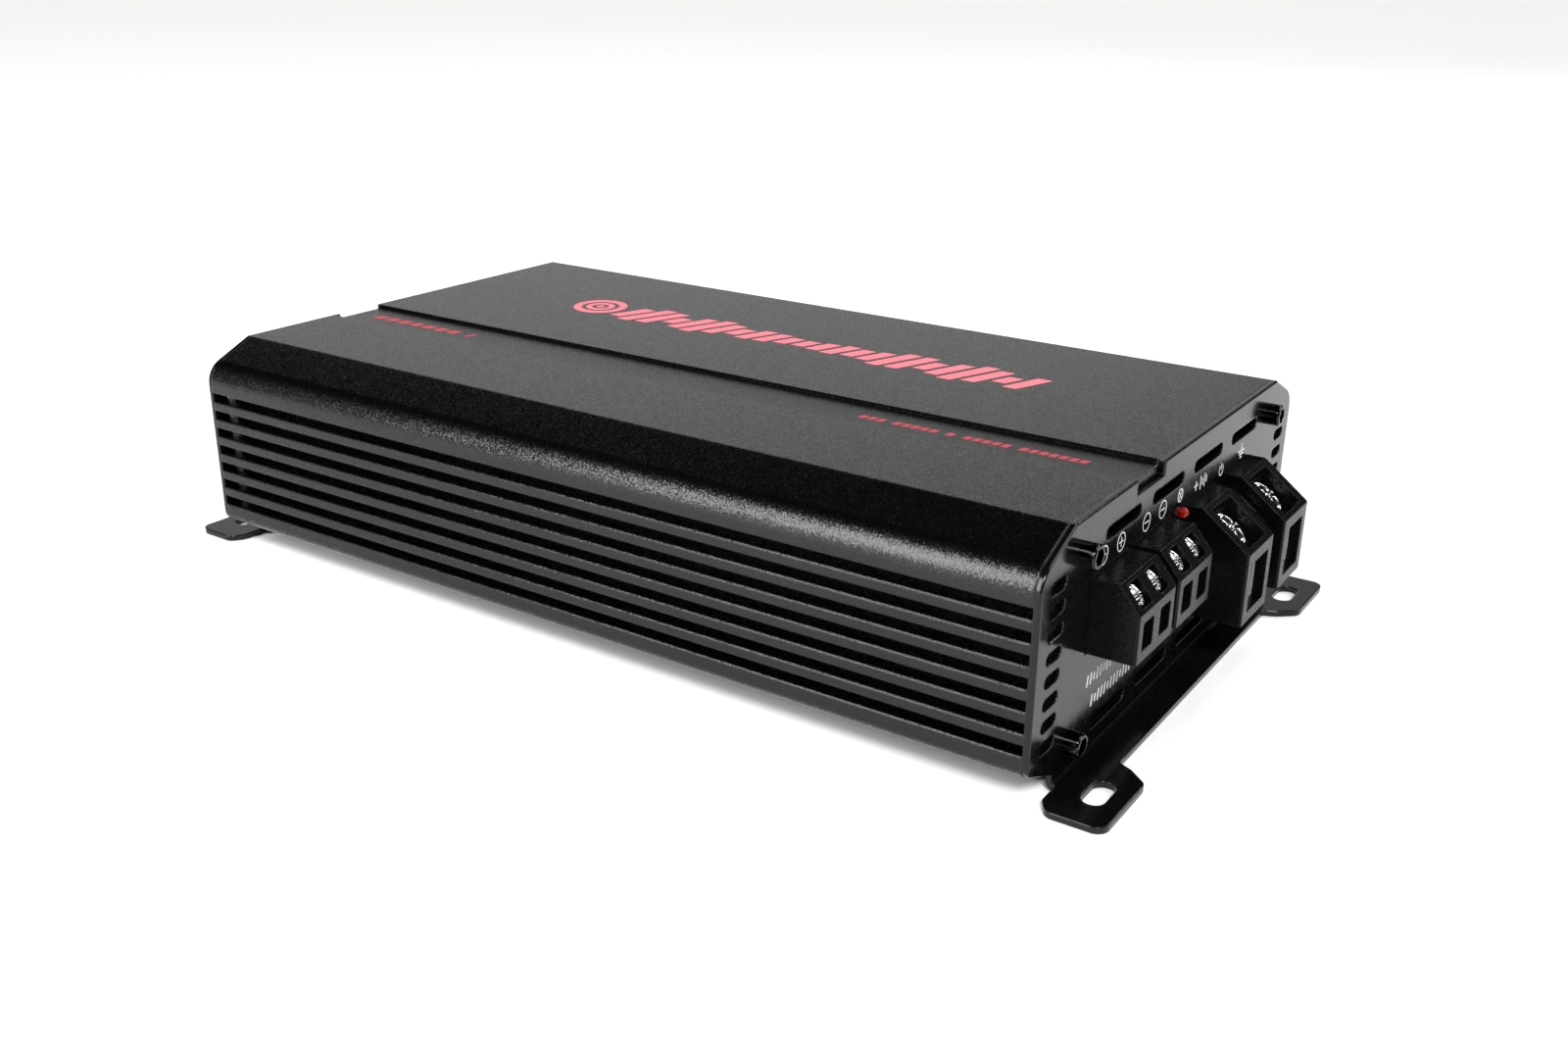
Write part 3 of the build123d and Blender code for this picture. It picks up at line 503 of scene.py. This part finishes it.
# sound-wave bars on the lid, leaning like the strokes of a sign, beside a loudspeaker sign of rings. A bar's
# height is a low base and a swing, the product of a quick sine and a slow cosine of its number.
waveSign = {"left": -56.0, "pitch": 5.65, "count": 24, "middle": 22.0, "width": 4.0, "lean": 0.38,
            "low": 6.0, "swing": 11.0, "quick": (0.83, 0.6), "slow": (0.19, -0.5)}
coneSign = {"place": (-69.0, 22.5), "rings": [(7.0, 2.4), (3.5, 1.8), (0.6, 1.2)]}
order = np.arange(waveSign["count"])
swell = np.abs(np.sin(waveSign["quick"][0] * order + waveSign["quick"][1])
               * np.cos(waveSign["slow"][0] * order + waveSign["slow"][1]))
waveBars = [(waveSign["left"] + waveSign["pitch"] * k, waveSign["middle"], waveSign["width"],
             waveSign["low"] + waveSign["swing"] * h, waveSign["lean"], 0.0) for k, h in zip(order, swell)]
coneArcs = [coneSign["place"] + (radius, line, 0.0, turnAll) for radius, line in coneSign["rings"]]
printMarks("lid_wave_print", "top", "redInk", waveBars, coneArcs)

# two short rows of tally marks in the channel, the left one with a thin mark after a gap, the right one in
# groups
leftTally = {"from": -114.6, "up": -23.6, "pitch": 5.0, "count": 7, "width": 3.6, "height": 3.1, "lean": 0.3,
             "last": -78.0, "lastWidth": 1.4}
rightTally = {"from": 53.0, "up": -24.0, "pitch": 2.45, "groups": (3, 5, 1, 5, 7), "gap": 2.0, "width": 1.8,
              "height": 2.3, "lean": 0.25}
tally = [(leftTally["from"] + leftTally["pitch"] * k, leftTally["up"], leftTally["width"],
          leftTally["height"], leftTally["lean"], 0.0) for k in range(leftTally["count"])]
tally.append((leftTally["last"], leftTally["up"], leftTally["lastWidth"], leftTally["height"],
              leftTally["lean"], 0.0))
reach = rightTally["from"]
for count in rightTally["groups"]:
    tally += [(reach + rightTally["pitch"] * k, rightTally["up"], rightTally["width"], rightTally["height"],
               rightTally["lean"], 0.0) for k in range(count)]
    reach += rightTally["pitch"] * count + rightTally["gap"]
printMarks("channel_tally_print", "channel", "deepRedInk", tally)

# terminal end: pole, lamp, battery, switched supply and earth signs, and two scale rows below the terminals
poleSigns = {"plus": (-47.4, -38.2), "minus": (-24.1, -14.5), "up": 47.3, "radius": 2.05, "stroke": 2.3}
lampSign = {"place": (-3.7, 47.4), "radius": 1.5, "stroke": 2.9}
batterySign = {"plus": 6.7, "cells": 9.6, "pitch": 1.35, "heights": (3.4, 1.7), "count": 4, "up": 46.6,
               "stroke": 2.4, "line": 0.42}
switchSign = {"across": 24.2, "up": 45.6, "radius": 1.35, "open": (-235, 55), "strokeUp": 46.5, "stroke": 1.7}
earthSign = {"across": 38.7, "up": 46.6, "pitch": 0.85, "longest": 4.4, "shorter": 1.5, "count": 3,
             "stemUp": 47.6, "stem": 2.0, "line": 0.42}
scaleRows = {"pitch": 1.75, "width": 0.6, "lean": 0.12,
             # from, up, count, heights in turn
             "rows": [(-50.2, 19.4, 18, (2.7, 2.7, 1.8)), (-47.0, 13.6, 20, (2.7, 1.8, 2.7, 2.7))]}
signLine = 0.28
upright = math.pi / 2
poles = poleSigns["plus"] + poleSigns["minus"]
signArcs = [(y, poleSigns["up"], poleSigns["radius"], signLine, 0.0, turnAll) for y in poles]
signArcs.append(lampSign["place"] + (lampSign["radius"], signLine, 0.0, turnAll))
signArcs.append((switchSign["across"], switchSign["up"], switchSign["radius"], signLine,
                 math.radians(switchSign["open"][0]), math.radians(switchSign["open"][1])))
signBars = [(y, poleSigns["up"], poleSigns["stroke"], signLine, 0.0, 0.0) for y in poles]
signBars += [(y, poleSigns["up"], poleSigns["stroke"], signLine, 0.0, upright) for y in poleSigns["plus"]]
signBars += [lampSign["place"] + (lampSign["stroke"], signLine, 0.0, turn)
             for turn in (-upright / 2, upright / 2)]
signBars += [(batterySign["plus"], batterySign["up"], batterySign["stroke"], batterySign["line"], 0.0, turn)
             for turn in (0.0, upright)]
signBars += [(batterySign["cells"] + batterySign["pitch"] * k, batterySign["up"], batterySign["line"],
              batterySign["heights"][k % 2], 0.0, 0.0) for k in range(batterySign["count"])]
signBars.append((switchSign["across"], switchSign["strokeUp"], signLine, switchSign["stroke"], 0.0, 0.0))
signBars += [(earthSign["across"], earthSign["up"] - earthSign["pitch"] * k,
              earthSign["longest"] - earthSign["shorter"] * k, earthSign["line"], 0.0, 0.0)
             for k in range(earthSign["count"])]
signBars.append((earthSign["across"], earthSign["stemUp"], earthSign["line"], earthSign["stem"], 0.0, 0.0))
for left, up, count, heights in scaleRows["rows"]:
    signBars += [(left + scaleRows["pitch"] * k, up, scaleRows["width"], heights[k % len(heights)],
                  scaleRows["lean"], 0.0) for k in range(count)]
printMarks("terminal_signs_print", "terminalEnd", "whiteInk", signBars, signArcs)

# control end: a dial of ticks round every knob, with a title bar above it and less and more signs below, and
# short bars under the jacks, beside the switch and over the port
dial = {"across": (10.0, -8.0, -26.0, -44.0), "up": 37.0, "inner": 4.7, "long": 1.5, "short": 0.9,
        "line": 0.3, "every": 5, "reach": math.radians(140), "ticks": 11, "title": (9.6, 6.5, 1.1),
        "lean": 0.2, "ends": 3.0, "endsUp": -6.2, "stroke": 1.6, "strokeLine": 0.35}
controlRows = [
    # middle, pitch, up, width, height, numbers of the bars from the middle
    (40.5, 3.0, 12.6, 2.1, 1.2, (-2, -1, 0, 1, 2)),
    (-2.0, 9.0, 21.0, 3.0, 0.9, (-1, 1)),
    (-34.0, 3.0, 30.2, 2.1, 1.1, (-1, 0, 1)),
]
controlBars = []
for across in dial["across"]:
    for k in range(dial["ticks"]):
        turn = dial["reach"] * (2 * k / (dial["ticks"] - 1) - 1)
        length = dial["short"] if k % dial["every"] else dial["long"]
        away = dial["inner"] + length / 2
        controlBars.append((across + away * math.sin(turn), dial["up"] + away * math.cos(turn), dial["line"],
                            length, 0.0, -turn))
    titleUp, titleWidth, titleHeight = dial["title"]
    controlBars.append((across, dial["up"] + titleUp, titleWidth, titleHeight, dial["lean"], 0.0))
    controlBars += [(across + side * dial["ends"], dial["up"] + dial["endsUp"], dial["stroke"],
                     dial["strokeLine"], 0.0, turn) for side, turn in ((-1, 0.0), (1, 0.0), (1, upright))]
for middle, pitch, up, width, height, numbers in controlRows:
    controlBars += [(middle + pitch * k, up, width, height, dial["lean"], 0.0) for k in numbers]
printMarks("control_scale_print", "controlEnd", "whiteInk", controlBars)
print("printed marks: 4 prints")

# clamp screws: domed heads with a cross recess, and a real thread
bodyOf = {node: body for body, members in frame["record"]["behaviour"]["bodies"].items() for node in members}
clampBlocks = {
    # X of the front and top edges of the slanted face, Z of its top and chin; radii and depths from the face
    "speaker": dict(front=136.5, topX=131.5, top=44.0, chin=38.0, headR=2.65, headH=2.2, headSink=0.2,
                    shankR=1.9, tipSink=12.7, spigot=0.48, pitch=0.7),
    "remote": dict(front=136.5, topX=127.7, top=40.5, chin=33.7, headR=2.65, headH=2.2, headSink=0.2,
                   shankR=1.9, tipSink=10.6, spigot=0.48, pitch=0.7),
    "supply": dict(front=141.1, topX=129.2, top=43.0, chin=33.8, headR=5.0, headH=3.5, headSink=1.6,
                   shankR=2.9, tipSink=16.7, spigot=0.9, pitch=1.0),
}
clampAcross = {"speaker_screw_1": -47.4, "speaker_screw_2": -38.0, "speaker_screw_3": -24.9,
               "speaker_screw_4": -15.5, "power_screw": 11.5, "ground_screw": 38.5, "remote_screw": 25.0}
screwForm = {
    "columns": 96, "rings": 40,
    # the power that draws the head's rings together towards its rim
    "crowding": 0.8,
    # dome and recess as shares of the head's height
    "dome": 0.42, "recess": 0.42,
    # the recess's arms and the softness of their ends as shares of the head's radius; their sides are sharper
    "arm": 0.78, "half": 0.135, "soft": 0.05, "sides": 0.6,
    # bevels of the head, play in the bore and plain stretches above and below the thread, in millimetres
    "bevel": 0.1, "rim": 0.12, "play": 0.06, "above": 0.1, "below": 0.2,
    # thread depth and tip bevel in pitches, spigot as a share of the shank's radius
    "threadDeep": 0.28, "tipBevel": 0.35, "rowsInPitch": 6, "spigotShare": 0.5,
}


def crossRecess(x, y, radius):
    # one inside both arms of a cross and nothing outside, with soft edges
    arm, half, soft = [screwForm[key] * radius for key in ("arm", "half", "soft")]

    def oneArm(along, over):
        return (1 / (1 + np.exp((np.abs(along) - arm) / soft))
                / (1 + np.exp((np.abs(over) - half) / (screwForm["sides"] * soft))))

    return np.maximum(oneArm(x, y), oneArm(y, x))


def makeClampScrew(name, block, across):
    # One surface of two parameters, the row down the screw and the angle round it. The head's depth grows
    # with the square of the radius, which gives the dome, and a smooth cross pushes it down for the driver.
    # Below the head the radius falls and rises once in every pitch, and the rise climbs with the angle.
    b = clampBlocks[block]
    form = screwForm
    columns = form["columns"]
    angle = np.arange(columns) * turnAll / columns

    def allRound(values):
        return np.repeat(np.asarray(values)[:, None], columns, axis=1)

    share = np.linspace(0, 1, form["rings"])[1:] ** form["crowding"]
    dome, recess = form["dome"] * b["headH"], form["recess"] * b["headH"]
    headRadius = allRound(share * b["headR"])
    cross = crossRecess(headRadius * np.cos(angle), headRadius * np.sin(angle), b["headR"])
    headDepth = b["headSink"] + dome * share[:, None] ** 2 + recess * cross
    collar = b["headSink"] + b["headH"]
    skirt = np.array([(b["headR"], b["headSink"] + dome + form["rim"]), (b["headR"], collar - form["bevel"]),
                      (b["headR"] - form["bevel"], collar), (b["shankR"] - form["bevel"], collar)])
    turns = np.arange(collar + form["above"], b["tipSink"] - form["below"], b["pitch"] / form["rowsInPitch"])
    climb = turns[:, None] / b["pitch"] - angle / turnAll
    crest = b["shankR"] - form["play"]
    thread = crest - form["threadDeep"] * b["pitch"] * (1 - np.abs(2 * (climb % 1) - 1))
    tipEnd = b["tipSink"] + b["spigot"]
    spigotR = form["spigotShare"] * b["shankR"]
    tip = np.array([(b["shankR"] - form["tipBevel"] * b["pitch"], b["tipSink"]),
                    (spigotR, b["tipSink"]), (spigotR, tipEnd)])
    radius = np.concatenate([headRadius, allRound(skirt[:, 0]), thread, allRound(tip[:, 0])])
    depth = np.concatenate([headDepth, allRound(skirt[:, 1]), allRound(turns), allRound(tip[:, 1])])

    # from radius, angle and depth to the slanted face of the block
    run, drop = b["front"] - b["topX"], b["top"] - b["chin"]
    slope = np.array([run, 0, -drop]) / math.hypot(run, drop)
    out = np.array([drop, 0, run]) / math.hypot(run, drop)
    middle = np.array([(b["front"] + b["topX"]) / 2, across, (b["top"] + b["chin"]) / 2])
    points = (middle + (radius * np.cos(angle))[..., None] * slope
              + (radius * np.sin(angle))[..., None] * np.array([0, 1, 0]) - depth[..., None] * out)
    crown = middle - (b["headSink"] + recess * cross[0].mean()) * out
    end = middle - tipEnd * out
    points = np.concatenate([points.reshape(-1, 3), [crown], [end]])

    # four-cornered faces between the rows, and a fan of triangles at the crown and at the end
    count = len(radius)
    row, column = np.meshgrid(np.arange(count - 1), np.arange(columns), indexing="ij")
    here, beside = row * columns + column, row * columns + (column + 1) % columns
    faces = np.stack([here, here + columns, beside + columns, beside], axis=2).reshape(-1, 4).tolist()
    ring = np.arange(columns)
    after = (ring + 1) % columns
    last, total = (count - 1) * columns, count * columns
    faces += np.stack([np.full(columns, total), ring, after], axis=1).tolist()
    faces += np.stack([np.full(columns, total + 1), last + after, last + ring], axis=1).tolist()
    piece = putMesh(name + "_turned", points, faces, "brightNickel", bodyOf[name], smooth=True)
    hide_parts(name)


for name, across in clampAcross.items():
    kind = name.split("_")[0]
    makeClampScrew(name, kind if kind in clampBlocks else "supply", across)
print("clamp screws:", len(clampAcross))
